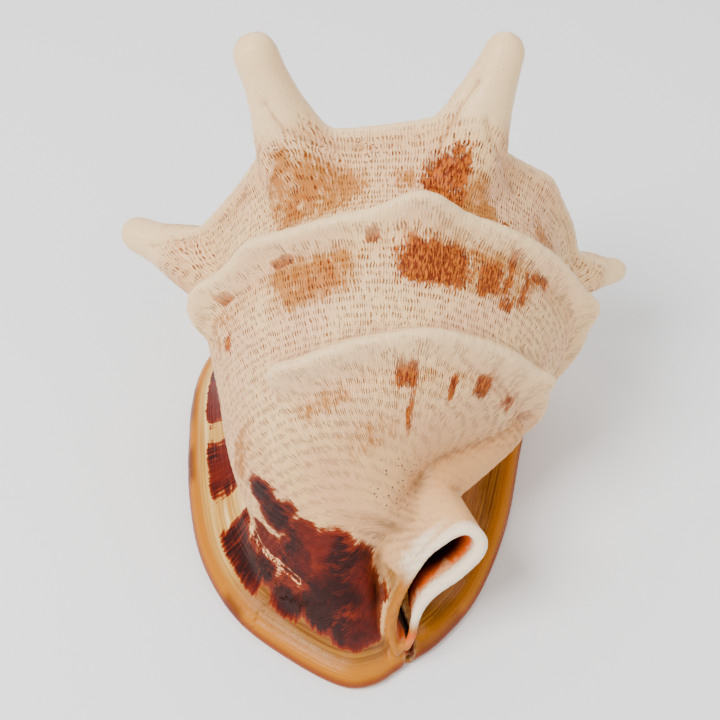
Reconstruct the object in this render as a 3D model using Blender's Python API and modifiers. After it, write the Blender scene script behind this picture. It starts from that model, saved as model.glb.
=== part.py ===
"""A horned helmet shell, the big sea snail's shell sold as a conch, lying on its flat underside.

It grew as one piece, so it is one solid: a spiral body whorl with a low spire, three spiral
rows of knobs, long horns on the shoulder, a flat oval plate round the aperture and a short
siphonal canal that curls up at the front. Metres, +Z up, the spire towards +Y.
Lengths in the tables below are in millimetres and are scaled by MM when a mesh is made.
"""

import math

import bmesh
import bpy
from mathutils import Vector

MM = 0.001

SHELL_COLOUR = (0.86, 0.74, 0.60, 1.0)
SHELL_ROUGHNESS = 0.35

# The coiling axis, from its front end to the apex of the spire, and how fast the shell grows.
AXIS_FRONT = Vector((9.6, 0.0, 47.2))
APEX = Vector((24.8, 186.9, 60.0))
GROWTH = 0.082                      # natural log of the growth in size for each radian of turn
LIP_ANGLE = math.radians(118)       # how far past the top of the shell the outer lip stands
WHORLS_BEFORE = 3.2                 # turns of spire before the body whorl

# The body whorl's outline at the top of the shell: distance from the axis, distance from the apex.
SHOULDER = (73.7, 37.8)
MIDDLE_ROW = (71.0, 81.7)
LOWER_ROW = (53.5, 117.0)
OUTLINE = (
    (44.6, 24.0), (52.0, 26.5), (62.0, 31.5), SHOULDER, (71.0, 46.0), (68.0, 58.0), (68.0, 71.0),
    MIDDLE_ROW, (67.5, 91.0), (61.0, 104.0), LOWER_ROW, (48.0, 123.5), (41.0, 130.5),
    (33.0, 136.0), (24.0, 140.0), (16.0, 143.0), (10.0, 146.0),
)
LIP_DRAWN_IN = 0.11                 # how much slimmer the whorl is along its middle near the lip
LIP_DRAWN_WIDTH = 25.0              # half width of that slimmer belt along the axis
LIP_DRAWN_DEGREES = (60.0, 95.0)    # where it starts and is complete
AXIS_SIDE = ((3.0, 148.0), (-3.0, 142.0), (-3.0, 90.0), (-3.0, 34.0), (14.0, 22.0), (32.0, 21.0))
OUTLINE_SHARE = 0.78                # of a section's points, those that lie on the outline
SECTION_POINTS = 84
SECTIONS = 330
WHORL_BOTTOM = 1.5                  # the whorl is cut off this high, inside the plate

# The whorl stays behind a sloping front, where the canal's mouth is: y at the ground, y for each
# millimetre of height, and the height at which the slope ends.
FRONT_FOOT = 7.0
FRONT_LEAN = 0.5
FRONT_TOP = 50.0

# Knobs: the row they stand on, degrees from the top towards the lip, height, half width in
# degrees and half width along the axis.
KNOBS = (
    (SHOULDER, -46, 2.5, 7, 6), (SHOULDER, -140, 5, 10, 8), (SHOULDER, -185, 4, 10, 8),
    (SHOULDER, -225, 4, 9, 8),
    (MIDDLE_ROW, 62, 3, 7, 7), (MIDDLE_ROW, 40, 3, 8, 7), (MIDDLE_ROW, -3, 8, 8, 8),
    (MIDDLE_ROW, -73, 4, 8, 8), (MIDDLE_ROW, -125, 5, 9, 8),
    (LOWER_ROW, 43, 2, 9, 6), (LOWER_ROW, -8, 2, 12, 6), (LOWER_ROW, -68, 2, 8, 6),
)
# Spiral cords that join the knobs of a row: row, height, half width, degrees from and to.
CORDS = (
    (SHOULDER, 0.8, 4.0, -400, 100), (MIDDLE_ROW, 3.8, 4.5, -200, 72), (LOWER_ROW, 4.0, 4.5, -180, 46),
)
# Webs that carry the shoulder up to each horn: degrees, height, reach towards the lip and away
# from it in degrees, half width along the axis.
WEBS = ((80, 10, 15, 9, 13), (33, 14, 10, 9, 14), (-15, 13, 13, 6, 14), (-92, 5, 9, 9, 8))
WEB_FALL = 1.3                      # a web's sides sweep down as a power of the way out from its horn
SPIRE_KNOB_STEP = math.radians(40)
SPIRE_KNOB_HEIGHT = 4.5
SPIRE_KNOB_WIDTH = 6.0
SPIRE_DEGREES = -240                # the spire's own knobs stand behind this place
CORD_RUN_OUT = 12.0                 # degrees in which a cord dies away at its ends

# Horns on the shoulder: degrees, the tip, then the radius at the foot, half way and at the tip.
# Each starts inside the whorl, comes out square to the axis and bends to its tip.
HORNS = {
    "left": (82, (-94.0, 162.0, 74.0), 14.0, 8.4, 7.0),
    "upper_left": (32, (-35.5, 157.0, 164.0), 14.5, 8.8, 8.4),
    "upper_right": (-15.5, (55.0, 153.5, 163.5), 14.5, 9.0, 6.4),
    "right": (-92, (110.5, 154.0, 50.0), 10.5, 6.6, 5.0),
}
HORN_ROOT = (SHOULDER[0] - 24.0, SHOULDER[1] + 14.0)
HORN_FOOT = (SHOULDER[0] + 2.0, SHOULDER[1] + 3.0)
HORN_HALF_WAY = 0.55
HORN_ROOT_FLARE = 5.0               # how much wider its root is than its foot

# The plate's outline, clockwise from the slit at the front when seen from above: x, y, how high
# the flange climbs behind the rim, how wide it is, and how high the hood behind it swells.
PLATE = (
    (9.5, 1.5, 2.0, 12.0, 8.0), (1.5, -3.5, 7.0, 12.0, 40.0), (-10.0, -4.0, 10.0, 14.0, 45.0),
    (-29.0, 7.0, 12.0, 17.0, 48.0), (-49.0, 24.0, 13.0, 21.0, 28.0), (-63.0, 48.0, 14.0, 25.0, 8.0),
    (-70.0, 75.0, 14.0, 25.0, 0.0), (-73.0, 107.0, 13.0, 22.0, 0.0), (-72.0, 140.0, 12.0, 18.0, 0.0),
    (-62.0, 163.0, 12.0, 16.0, 0.0), (-40.0, 175.0, 12.0, 16.0, 0.0), (-10.0, 179.0, 10.0, 16.0, 0.0),
    (20.0, 181.0, 8.0, 16.0, 0.0), (47.0, 174.0, 6.0, 20.0, 0.0), (65.0, 152.0, 5.0, 30.0, 0.0),
    (69.5, 120.0, 3.0, 30.0, 0.0), (63.5, 92.0, 3.0, 30.0, 0.0), (54.5, 59.0, 3.0, 30.0, 0.0),
    (41.0, 30.0, 3.0, 30.0, 0.0), (26.0, 12.5, 2.0, 26.0, 0.0), (16.0, 5.5, 2.0, 20.0, 0.0),
)
PLATE_CENTRE = (-2.0, 85.0)
PLATE_POINTS = 126
RIM_THICK = 6.0
RIM_ROLL = 3.5                      # how far in the rim's round edge reaches
FLANGE_CURVE = 1.7                  # the flange climbs as this power of the way across it
HOOD_START = 0.7                    # the hood starts at this share of the flange's width
HOOD_REACH = 17.0
HOLLOW_UNDER = 1.6                  # how far the underside is dished above the ground
HOLLOW_EDGE = 0.86                  # share of the way to the rim at which the dish starts
HOLLOW_SLOPE = 0.2                  # share in which the dish reaches its depth
BELOW_GROUND = 1.0                  # how far parts reach under the ground before it cuts them off
# Shares of the way from the middle to the rim: along the underside, then back over the top.
PLATE_UNDER = (0.0, 0.25, 0.5, 0.7, 0.82, 0.9, 0.955, 0.985)
PLATE_OVER = (1.0, 0.985, 0.965, 0.94, 0.91, 0.87, 0.82, 0.77, 0.7, 0.62, 0.5, 0.25, 0.0)

# The canal's mouth, outside and inside, and the ring it shrinks to inside the shell.
CANAL_RIM = (
    (9.9, 2.8, 7.4), (6.5, 6.2, 13.6), (4.7, 9.2, 18.9), (5.7, 12.0, 24.2), (8.2, 14.3, 28.2),
    (12.5, 18.6, 36.0), (18.1, 22.6, 43.3), (23.2, 24.9, 47.5), (27.7, 27.0, 51.3),
    (33.1, 28.3, 53.8), (37.1, 27.9, 53.0), (40.5, 26.2, 50.0), (40.9, 24.4, 46.6),
    (39.2, 22.6, 43.3), (34.1, 19.3, 37.4), (28.6, 17.2, 33.5), (23.4, 15.4, 30.2),
    (19.3, 13.3, 26.5), (16.8, 10.9, 22.1), (14.9, 7.0, 15.1),
)
CANAL_INSIDE = (
    (10.3, 5.2, 11.7), (9.7, 7.9, 16.7), (10.2, 11.0, 22.3), (12.4, 15.0, 29.5),
    (17.0, 19.6, 37.9), (22.2, 23.6, 45.2), (28.7, 26.1, 49.6), (33.1, 26.9, 51.2),
    (36.5, 26.1, 49.7), (37.2, 24.1, 46.1), (34.1, 21.7, 41.8), (27.6, 19.4, 37.6),
    (21.1, 17.3, 33.7), (17.6, 14.9, 29.3), (15.4, 11.5, 23.2), (13.9, 7.3, 15.5),
)
CANAL_ROOT = Vector((14.0, 50.0, 33.0))
CANAL_ROOT_RADIUS = 21.0
BORE_ROOT = Vector((14.0, 42.0, 25.0))
BORE_ROOT_RADIUS = 6.5
BORE_AHEAD = Vector((0.8, -6.4, 4.8))   # from the mouth to the bore's open end
CANAL_POINTS = 48
CANAL_STEPS = 10

# The swelling left by the last canal, low on the right: centre line and radii.
EAR = ((62.0, 98.0, 52.0), (50.0, 81.0, 47.0), (38.0, 68.0, 45.0), (24.0, 57.0, 45.0), (14.0, 48.0, 45.0))
EAR_RADII = (12.0, 13.0, 12.0, 13.0, 11.0)

# The pillar's foot on the right of the aperture, from the canal back: centre line and radii.
PILLAR = ((19.0, 38.0, 24.0), (17.0, 60.0, 27.0), (13.0, 80.0, 28.0), (7.0, 102.0, 26.0))
PILLAR_RADII = (12.0, 14.0, 14.0, 12.0)

# The aperture: the line of its slit on the ground and the half width there.
SLIT = (
    (10.2, -8.0, 1.8), (10.5, 2.0, 1.8), (10.0, 12.0, 2.4), (8.5, 26.0, 4.5), (4.0, 48.0, 6.5),
    (-4.0, 80.0, 7.0), (-12.0, 115.0, 6.5), (-18.0, 140.0, 5.0), (-21.0, 153.0, 2.5),
)
SLIT_TOP = 20.0
SLIT_BOTTOM = -6.0
SLIT_STEPS = 60
SLIT_ROUND_STEPS = 5                # steps in which its rear end rounds off

# The hollow of the body whorl. It starts small behind the spire side and opens out to the lip.
WALL = 6.0
HOLLOW_START = math.radians(-150)
HOLLOW_END = math.radians(145)
HOLLOW_OPENS_IN = 0.6               # radians in which it reaches its full size
HOLLOW_START_WALL = 12.0            # extra wall where it starts
HOLLOW_START_SIZE = 0.25            # its size there, as a share of the full one
HOLLOW_MIDDLE = (38.0, 90.0)        # the point it grows from: distance from the axis and the apex
HOLLOW_FLOOR = 11.0
HOLLOW_FRONT_WALL = 1.5 * WALL
PILLAR_SIDE = ((20.0, 131.0), (15.0, 124.0), (15.0, 100.0), (21.0, 66.0), (35.0, 48.0))
HOLLOW_POINTS = 48
HOLLOW_SECTIONS = 60

FUSE_VOXEL = 1.5                    # grid size at which the grown parts run into one another
OUTSIDE_ROUNDS = 4                  # rounds of smoothing of the outside, the hollow and the two together
HOLLOW_ROUNDS = 3
EDGE_ROUNDS = 1
FACES_KEPT = 9400                   # triangles left in the finished solid
BASE_SNAP = 0.2                     # what lies this near the ground is brought down onto it
GROUND_SIZE = (600.0, 600.0, 100.0)


def scale_at(angle):
    return math.exp(GROWTH * angle)


def axis_directions():
    """Unit vectors along the axis to the apex, to the right, and up at the top of the shell."""
    along = (APEX - AXIS_FRONT).normalized()
    right = along.cross(Vector((0, 0, 1))).normalized()
    return along, right, right.cross(along)


ALONG, RIGHT, UP = axis_directions()


def outward(angle):
    return math.cos(angle) * UP - math.sin(angle) * RIGHT


def on_whorl(angle, radius, depth):
    """The point at this angle of turn, this far from the axis and below the apex."""
    size = scale_at(angle)
    return APEX - ALONG * (depth * size) + outward(angle) * (radius * size)


def spline(points, t, closed=False):
    """A Catmull-Rom curve through points, at t from 0 to 1."""
    count = len(points)
    spans = count if closed else count - 1
    place = min(max(t, 0.0), 1.0) * spans
    i = min(int(place), spans - 1)
    f = place - i

    def at(k):
        return points[k % count] if closed else points[min(max(k, 0), count - 1)]

    a, b, c, d = at(i - 1), at(i), at(i + 1), at(i + 2)
    return tuple(
        0.5 * (2 * q + (r - p) * f + (2 * p - 5 * q + 4 * r - s) * f * f + (3 * q - p - 3 * r + s) * f ** 3)
        for p, q, r, s in zip(a, b, c, d)
    )


def smooth(x):
    x = min(max(x, 0.0), 1.0)
    return x * x * (3 - 2 * x)


def bump(x):
    return math.exp(-x * x)


def raised(angle, depth):
    """How far knobs and cords lift the surface at this place on the body whorl's outline."""
    lift = 0.0
    degrees = math.degrees(angle)
    for row, at, height, half_turn, half_width in KNOBS:
        lift += height * bump((degrees - at) / half_turn) * bump((depth - row[1]) / half_width)
    for at, height, to_lip, from_lip, half_width in WEBS:
        reach = to_lip if degrees > at else from_lip
        away = abs(degrees - at) / reach
        lift += height * math.exp(-away ** WEB_FALL) * bump((depth - SHOULDER[1]) / half_width)
    for row, height, half_width, start, end in CORDS:
        run = smooth((degrees - start) / CORD_RUN_OUT) * smooth((end - degrees) / CORD_RUN_OUT)
        lift += height * run * bump((depth - row[1]) / half_width)
    if degrees < SPIRE_DEGREES:
        around = math.cos(2 * math.pi * angle / SPIRE_KNOB_STEP)
        on_row = bump((depth - SHOULDER[1]) / SPIRE_KNOB_WIDTH)
        lift += SPIRE_KNOB_HEIGHT * max(around, 0.0) ** 2 * on_row
    return lift


def front(height):
    """The y behind which the whorl stays at this height."""
    return FRONT_FOOT + FRONT_LEAN * min(height, FRONT_TOP)


def slimming(angle, depth):
    start, end = LIP_DRAWN_DEGREES
    near_lip = smooth((math.degrees(angle) - start) / (end - start))
    return 1 - LIP_DRAWN_IN * near_lip * bump((depth - MIDDLE_ROW[1]) / LIP_DRAWN_WIDTH)


def whorl_section(angle):
    """The body whorl's closed section at this angle: out along the outline, back by the axis."""
    ring = []
    way_back = (OUTLINE[-1],) + AXIS_SIDE + (OUTLINE[0],)
    for i in range(SECTION_POINTS):
        t = i / SECTION_POINTS
        if t < OUTLINE_SHARE:
            radius, depth = spline(OUTLINE, t / OUTLINE_SHARE)
            radius += raised(angle, depth)
            radius *= slimming(angle, depth)
        else:
            radius, depth = spline(way_back, (t - OUTLINE_SHARE) / (1 - OUTLINE_SHARE))
        place = on_whorl(angle, radius, depth)
        place.z = max(place.z, WHORL_BOTTOM)
        place.y = max(place.y, front(place.z))
        ring.append(place)
    return ring


def collection(name):
    """The collection of this name, made on first use."""
    found = bpy.data.collections.get(name)
    if found is None:
        found = bpy.data.collections.new(name)
        bpy.context.scene.collection.children.link(found)
    return found


def as_workpiece(name, bm):
    """An object that holds this mesh, in the collection of work pieces."""
    mesh = bpy.data.meshes.new(name)
    bm.to_mesh(mesh)
    bm.free()
    obj = bpy.data.objects.new(name, mesh)
    collection("workpieces").objects.link(obj)
    return obj


def solid_of_rings(name, rings):
    """A mesh object skinned over rings of equal length, with its ends closed."""
    around, along = len(rings[0]), len(rings)
    bm = bmesh.new()
    bmesh.ops.create_grid(bm, x_segments=around, y_segments=along - 1, size=1.0)
    bm.verts.ensure_lookup_table()
    for index, vert in enumerate(bm.verts):
        row, column = divmod(index, around + 1)
        vert.co = rings[row][column % around] * MM
    bmesh.ops.remove_doubles(bm, verts=bm.verts, dist=1e-7)
    bmesh.ops.holes_fill(bm, edges=[e for e in bm.edges if e.is_boundary], sides=0)
    bmesh.ops.recalc_face_normals(bm, faces=bm.faces)
    return as_workpiece(name, bm)


def turns(start, end, count):
    """Angles of turn at equal steps from start to end."""
    return [start + (end - start) * i / (count - 1) for i in range(count)]


def whorls():
    """The spire and the body whorl, wound up from the apex to a little past the lip."""
    start = LIP_ANGLE - 2 * math.pi * (WHORLS_BEFORE + 1)
    return solid_of_rings("whorls", [whorl_section(a) for a in turns(start, HOLLOW_END, SECTIONS)])


def tube(name, line, radii, steps=22, around=20):
    """A round tapering tube along a curve, with a rounded far end."""
    rings = []
    end = Vector(line[-1])
    for i in range(steps + 1):
        t = i / steps
        centre = Vector(spline(line, t))
        before = Vector(spline(line, t - 0.5 / steps))
        after = Vector(spline(line, t + 0.5 / steps))
        ahead = (after - before).normalized()
        side = ahead.cross(ALONG).normalized()
        other = side.cross(ahead)
        radius = spline([(r,) for r in radii], t)[0]
        from_end = min((end - centre).length / radii[-1], 1.0)
        radius *= max(math.sqrt(1 - (1 - from_end) ** 2), 0.02)
        rings.append([
            centre + (side * math.cos(a) + other * math.sin(a)) * radius
            for a in (2 * math.pi * k / around for k in range(around))
        ])
    return solid_of_rings(name, rings)


def horn(name, degrees, tip, foot_radius, middle_radius, tip_radius):
    angle = math.radians(degrees)
    foot = on_whorl(angle, *HORN_FOOT)
    tip = Vector(tip)
    line = [on_whorl(angle, *HORN_ROOT), foot, foot.lerp(tip, HORN_HALF_WAY), tip]
    radii = (foot_radius + HORN_ROOT_FLARE, foot_radius, middle_radius, tip_radius)
    return tube("horn_" + name, line, radii, steps=30)


def plate_bottom(share):
    dish = smooth((HOLLOW_EDGE - share) / HOLLOW_SLOPE)
    return (HOLLOW_UNDER + BELOW_GROUND) * dish - BELOW_GROUND


def plate_top(inward, climb, width, hood):
    """Height of the plate's upper face this far in from the rim: a rolled edge, a hollow, a hood."""
    rolled = RIM_THICK * (0.5 + 0.5 * math.sqrt(min(inward / RIM_ROLL, 1.0)))
    swell = hood * (1 - math.exp(-max(inward - HOOD_START * width, 0.0) / HOOD_REACH))
    return rolled + climb * min(inward / width, 1.0) ** FLANGE_CURVE + swell


def plate():
    outline = [spline(PLATE, i / PLATE_POINTS, closed=True) for i in range(PLATE_POINTS)]
    centre = Vector((*PLATE_CENTRE, 0))
    under, over = [], []
    for x, y, climb, width, hood in outline:
        edge = Vector((x, y, 0))
        reach = (edge - centre).length
        over.append([
            centre.lerp(edge, share) + Vector((0, 0, plate_top((1 - share) * reach, climb, width, hood)))
            for share in PLATE_OVER
        ])
        under.append([
            centre.lerp(edge, share) + Vector((0, 0, plate_bottom(share))) for share in PLATE_UNDER
        ])
    return solid_of_rings("plate", list(zip(*under)) + list(zip(*over)))


def ring_through(points):
    return [Vector(spline(points, i / CANAL_POINTS, closed=True)) for i in range(CANAL_POINTS)]


def towards(ring, root, radius):
    """Rings that lead from a ring to a circle round the root, square to the way between them."""
    middle = sum(ring, Vector()) / len(ring)
    way = (root - middle).normalized()
    circle = []
    for place in ring:
        out = place - middle
        out -= way * out.dot(way)
        circle.append(root + out.normalized() * radius)
    return [
        [a.lerp(b, t) for a, b in zip(ring, circle)]
        for t in (i / CANAL_STEPS for i in range(CANAL_STEPS + 1))
    ]


def canal():
    """The spout's outside: its mouth's rim carried back into the shell."""
    return solid_of_rings("canal", towards(ring_through(CANAL_RIM), CANAL_ROOT, CANAL_ROOT_RADIUS))


def canal_bore():
    inside = ring_through(CANAL_INSIDE)
    open_end = [place + BORE_AHEAD for place in inside]
    return solid_of_rings("canal_bore", [open_end] + towards(inside, BORE_ROOT, BORE_ROOT_RADIUS))


def slit_bore():
    """A tall thin block along the aperture, round at the rear."""
    rings = []
    for level in (SLIT_BOTTOM, SLIT_TOP):
        left, right = [], []
        for i in range(SLIT_STEPS + 1):
            x, y, half = spline(SLIT, i / SLIT_STEPS)
            half *= math.sqrt(min((SLIT_STEPS - i + 0.05) / SLIT_ROUND_STEPS, 1.0))
            left.append(Vector((x - half, y, level)))
            right.append(Vector((x + half, y, level)))
        rings.append(left + right[::-1])
    return solid_of_rings("slit_bore", rings)


def inset(points, wall):
    """The points between a line's ends, moved square to the line towards its inner side."""
    moved = []
    for before, (radius, depth), after in zip(points, points[1:], points[2:]):
        ahead = Vector((after[0] - before[0], after[1] - before[1])).normalized()
        moved.append((radius - wall * ahead.y, depth + wall * ahead.x))
    return tuple(moved)


def hollow_section(angle):
    """The living space's section: inside the outline by the wall, outside the central pillar."""
    opened = smooth((angle - HOLLOW_START) / HOLLOW_OPENS_IN)
    wall = WALL + (1 - opened) * HOLLOW_START_WALL
    size = HOLLOW_START_SIZE + (1 - HOLLOW_START_SIZE) * opened
    loop = inset(OUTLINE[2:15], wall) + PILLAR_SIDE
    ring = []
    for i in range(HOLLOW_POINTS):
        radius, depth = (
            middle + (value - middle) * size
            for value, middle in zip(spline(loop, i / HOLLOW_POINTS, closed=True), HOLLOW_MIDDLE)
        )
        place = on_whorl(angle, radius * slimming(angle, depth), depth)
        place.z = max(place.z, HOLLOW_FLOOR)
        place.y = max(place.y, front(place.z) + HOLLOW_FRONT_WALL)
        ring.append(place)
    return ring


def hollow_bore():
    angles = turns(HOLLOW_START, HOLLOW_END, HOLLOW_SECTIONS)
    return solid_of_rings("hollow_bore", [hollow_section(a) for a in angles])


def joined(name, parts):
    """One object that holds every part's mesh; the parts are removed."""
    bm = bmesh.new()
    for part in parts:
        bm.from_mesh(part.data)
        bpy.data.objects.remove(part)
    return as_workpiece(name, bm)


def fuse(obj, voxel, rounds):
    """Runs overlapping parts into one skin and rounds the creases between them."""
    remesh = obj.modifiers.new("fuse", "REMESH")
    remesh.mode = "VOXEL"
    remesh.voxel_size = voxel * MM
    soften = obj.modifiers.new("soften", "SMOOTH")
    soften.factor = 0.5
    soften.iterations = rounds


def cut(obj, cutter):
    boolean = obj.modifiers.new("cut " + cutter.name, "BOOLEAN")
    boolean.operation = "DIFFERENCE"
    boolean.solver = "EXACT"
    boolean.object = cutter


def applied(obj):
    """The object's modifiers made its mesh."""
    graph = bpy.context.evaluated_depsgraph_get()
    mesh = bpy.data.meshes.new_from_object(obj.evaluated_get(graph))
    obj.modifiers.clear()
    obj.data = mesh
    return obj


def ground():
    """Everything under the plane that the shell lies on."""
    bm = bmesh.new()
    bmesh.ops.create_cube(bm, size=MM)
    bmesh.ops.scale(bm, vec=GROUND_SIZE, verts=bm.verts)
    bmesh.ops.translate(bm, vec=(0.0, 0.0, -GROUND_SIZE[2] / 2 * MM), verts=bm.verts)
    return as_workpiece("ground", bm)


def thin_out(obj, faces):
    """Fewer, larger triangles where the surface is even, with the base still flat."""
    decimate = obj.modifiers.new("thin out", "DECIMATE")
    decimate.ratio = faces / sum(len(face.vertices) - 2 for face in obj.data.polygons)
    applied(obj)
    for vert in obj.data.vertices:
        if vert.co.z < BASE_SNAP * MM:
            vert.co.z = 0.0
    drop_specks(obj)


def drop_specks(obj):
    """Removes the loose slivers that thinning can leave beside the one big skin."""
    bm = bmesh.new()
    bm.from_mesh(obj.data)
    waiting = set(bm.verts)
    islands = []
    while waiting:
        island = {waiting.pop()}
        edge_of_search = list(island)
        while edge_of_search:
            vert = edge_of_search.pop()
            for edge in vert.link_edges:
                other = edge.other_vert(vert)
                if other in waiting:
                    waiting.remove(other)
                    island.add(other)
                    edge_of_search.append(other)
        islands.append(island)
    islands.sort(key=len)
    specks = [vert for island in islands[:-1] for vert in island]
    bmesh.ops.delete(bm, geom=specks, context="VERTS")
    bm.to_mesh(obj.data)
    bm.free()


def centred(obj):
    """Moves the mesh so that the middle of its box's underside is at the origin."""
    corners = [Vector(corner) for corner in obj.bound_box]
    low = Vector(min(c[i] for c in corners) for i in range(3))
    high = Vector(max(c[i] for c in corners) for i in range(3))
    shift = Vector((-(low.x + high.x) / 2, -(low.y + high.y) / 2, -low.z))
    for vert in obj.data.vertices:
        vert.co += shift


def shell_material():
    material = bpy.data.materials.new("shell")
    material.use_nodes = True
    surface = material.node_tree.nodes["Principled BSDF"]
    surface.inputs["Base Color"].default_value = SHELL_COLOUR
    surface.inputs["Roughness"].default_value = SHELL_ROUGHNESS
    return material


def shell():
    horns = [horn(name, *facts) for name, facts in HORNS.items()]
    swellings = [tube("ear", EAR, EAR_RADII), tube("pillar", PILLAR, PILLAR_RADII)]
    outside = joined("shell", [whorls(), plate(), canal()] + swellings + horns)
    fuse(outside, FUSE_VOXEL, OUTSIDE_ROUNDS)
    hollow = joined("hollow", [hollow_bore(), canal_bore(), slit_bore()])
    fuse(hollow, FUSE_VOXEL, HOLLOW_ROUNDS)
    cut(outside, hollow)
    fuse(outside, FUSE_VOXEL, EDGE_ROUNDS)
    floor = ground()
    cut(outside, floor)
    applied(outside)
    thin_out(outside, FACES_KEPT)
    for helper in (hollow, floor):
        bpy.data.objects.remove(helper)
    centred(outside)
    outside.data.materials.append(shell_material())
    collection("workpieces").objects.unlink(outside)
    collection("horned_helmet_shell").objects.link(outside)


def clear_scene():
    for obj in list(bpy.data.objects):
        bpy.data.objects.remove(obj)


def main():
    clear_scene()
    shell()


main()
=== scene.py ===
"""A horned helmet shell with its relief and stains, on a pale floor under three lights."""
import math

import bmesh
import bpy
import numpy as np
from mathutils import Matrix, Vector
from mathutils.bvhtree import BVHTree


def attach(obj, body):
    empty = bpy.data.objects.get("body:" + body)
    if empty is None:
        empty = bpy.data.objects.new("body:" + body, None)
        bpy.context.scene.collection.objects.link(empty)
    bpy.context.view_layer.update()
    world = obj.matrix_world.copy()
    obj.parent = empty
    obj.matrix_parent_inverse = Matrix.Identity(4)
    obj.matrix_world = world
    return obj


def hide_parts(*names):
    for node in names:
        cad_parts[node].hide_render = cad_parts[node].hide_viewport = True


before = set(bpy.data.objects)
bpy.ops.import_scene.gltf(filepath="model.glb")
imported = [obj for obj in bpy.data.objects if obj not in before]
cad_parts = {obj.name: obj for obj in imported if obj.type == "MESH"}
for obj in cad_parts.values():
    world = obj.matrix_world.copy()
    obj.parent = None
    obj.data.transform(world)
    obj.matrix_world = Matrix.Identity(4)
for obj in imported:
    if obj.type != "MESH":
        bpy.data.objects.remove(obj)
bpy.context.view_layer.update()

# Spire and body whorl.
# The animal adds shell at its lip, so each section is the one before it, turned about the axis
# and a little larger. Lengths are in millimetres until the shell is set on its frame.
axis_front = Vector((9.6, 0.0, 47.2))
apex = Vector((24.8, 186.9, 60.0))
growth = 0.082                      # natural log of the growth in size for each radian of turn
lip_turn = math.radians(118)        # the outer lip, counted from the top of the shell
whorl_end = math.radians(145)
whorl_start = lip_turn - 4.2 * 2 * math.pi
whorl_steps = 620

shoulder = (73.7, 37.8)             # distance from the axis, distance from the apex
middle_row = (71.0, 81.7)
lower_row = (52.3, 119.5)
outline = (
    (44.6, 24.0), (52.0, 26.5), (62.0, 31.5), shoulder, (71.0, 46.0), (68.0, 58.0), (68.0, 71.0),
    middle_row, (67.5, 91.0), (61.0, 104.0), lower_row, (47.5, 125.0), (41.0, 131.0),
    (33.0, 136.0), (24.0, 140.0), (16.0, 143.0), (10.0, 146.0),
)
axis_side = ((3.0, 148.0), (-3.0, 142.0), (-3.0, 90.0), (-3.0, 34.0), (14.0, 22.0), (32.0, 21.0))
outline_points, axis_points = 110, 26

along = (apex - axis_front).normalized()
right = along.cross(Vector((0, 0, 1))).normalized()
up = right.cross(along)


def curve(points, where, closed=False):
    """Places on a smooth curve through the points, where from 0 to 1."""
    points = np.array(points, float)
    count = len(points)
    spans = count if closed else count - 1
    along_it = np.clip(np.asarray(where, float), 0, 1) * spans
    index = np.minimum(along_it.astype(int), spans - 1)
    f = (along_it - index)[:, None]
    near = [points[k % count] if closed else points[np.clip(k, 0, count - 1)]
            for k in (index - 1, index, index + 1, index + 2)]
    p, q, r, s = near
    return 0.5 * (2 * q + (r - p) * f + (2 * p - 5 * q + 4 * r - s) * f ** 2
                  + (3 * q - p - 3 * r + s) * f ** 3)


def smooth(x):
    x = np.clip(x, 0.0, 1.0)
    return x * x * (3 - 2 * x)


def bump(x):
    return np.exp(-np.square(x))


def on_whorl(turn, radius, depth):
    size = math.exp(growth * turn)
    outward = math.cos(turn) * up - math.sin(turn) * right
    return apex - along * (depth * size) + outward * (radius * size)


def as_piece(name, bm):
    bmesh.ops.recalc_face_normals(bm, faces=bm.faces)
    mesh = bpy.data.meshes.new(name)
    bm.to_mesh(mesh)
    bm.free()
    piece = bpy.data.objects.new(name, mesh)
    bpy.context.scene.collection.objects.link(piece)
    return piece


def grow_on(bm, rim, matrix):
    """Extrudes a closed rim of edges, moves the new rim by the matrix and returns it."""
    grown = bmesh.ops.extrude_edge_only(bm, edges=rim)["geom"]
    fresh = {part for part in grown if isinstance(part, bmesh.types.BMVert)}
    bmesh.ops.transform(bm, matrix=matrix, verts=list(fresh))
    return [part for part in grown
            if isinstance(part, bmesh.types.BMEdge) and fresh.issuperset(part.verts)], fresh


whorls = bmesh.new()
turned = whorls.verts.layers.float.new("turned")
outside = whorls.verts.layers.float.new("outside")
bmesh.ops.create_circle(whorls, segments=outline_points + axis_points, radius=1.0)
way_back = (outline[-1],) + axis_side + (outline[0],)
section = np.concatenate([
    curve(outline, np.linspace(0, 1, outline_points)),
    curve(way_back, np.linspace(0, 1, axis_points + 2)[1:-1]),
])
for number, (vert, (radius, depth)) in enumerate(zip(whorls.verts, section)):
    vert.co = on_whorl(whorl_start, radius, depth)
    vert[turned] = whorl_start
    vert[outside] = float(number < outline_points)
rim = list(whorls.edges)
bmesh.ops.holes_fill(whorls, edges=rim, sides=0)
step = (whorl_end - whorl_start) / whorl_steps
one_step = (Matrix.Translation(apex) @ Matrix.Rotation(-step, 4, along)
            @ Matrix.Scale(math.exp(growth * step), 4) @ Matrix.Translation(-apex))
for number in range(whorl_steps):
    rim, fresh = grow_on(whorls, rim, one_step)
    for vert in fresh:
        vert[turned] = whorl_start + step * (number + 1)
bmesh.ops.holes_fill(whorls, edges=rim, sides=0)
whorls = as_piece("whorls", whorls)


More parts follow.
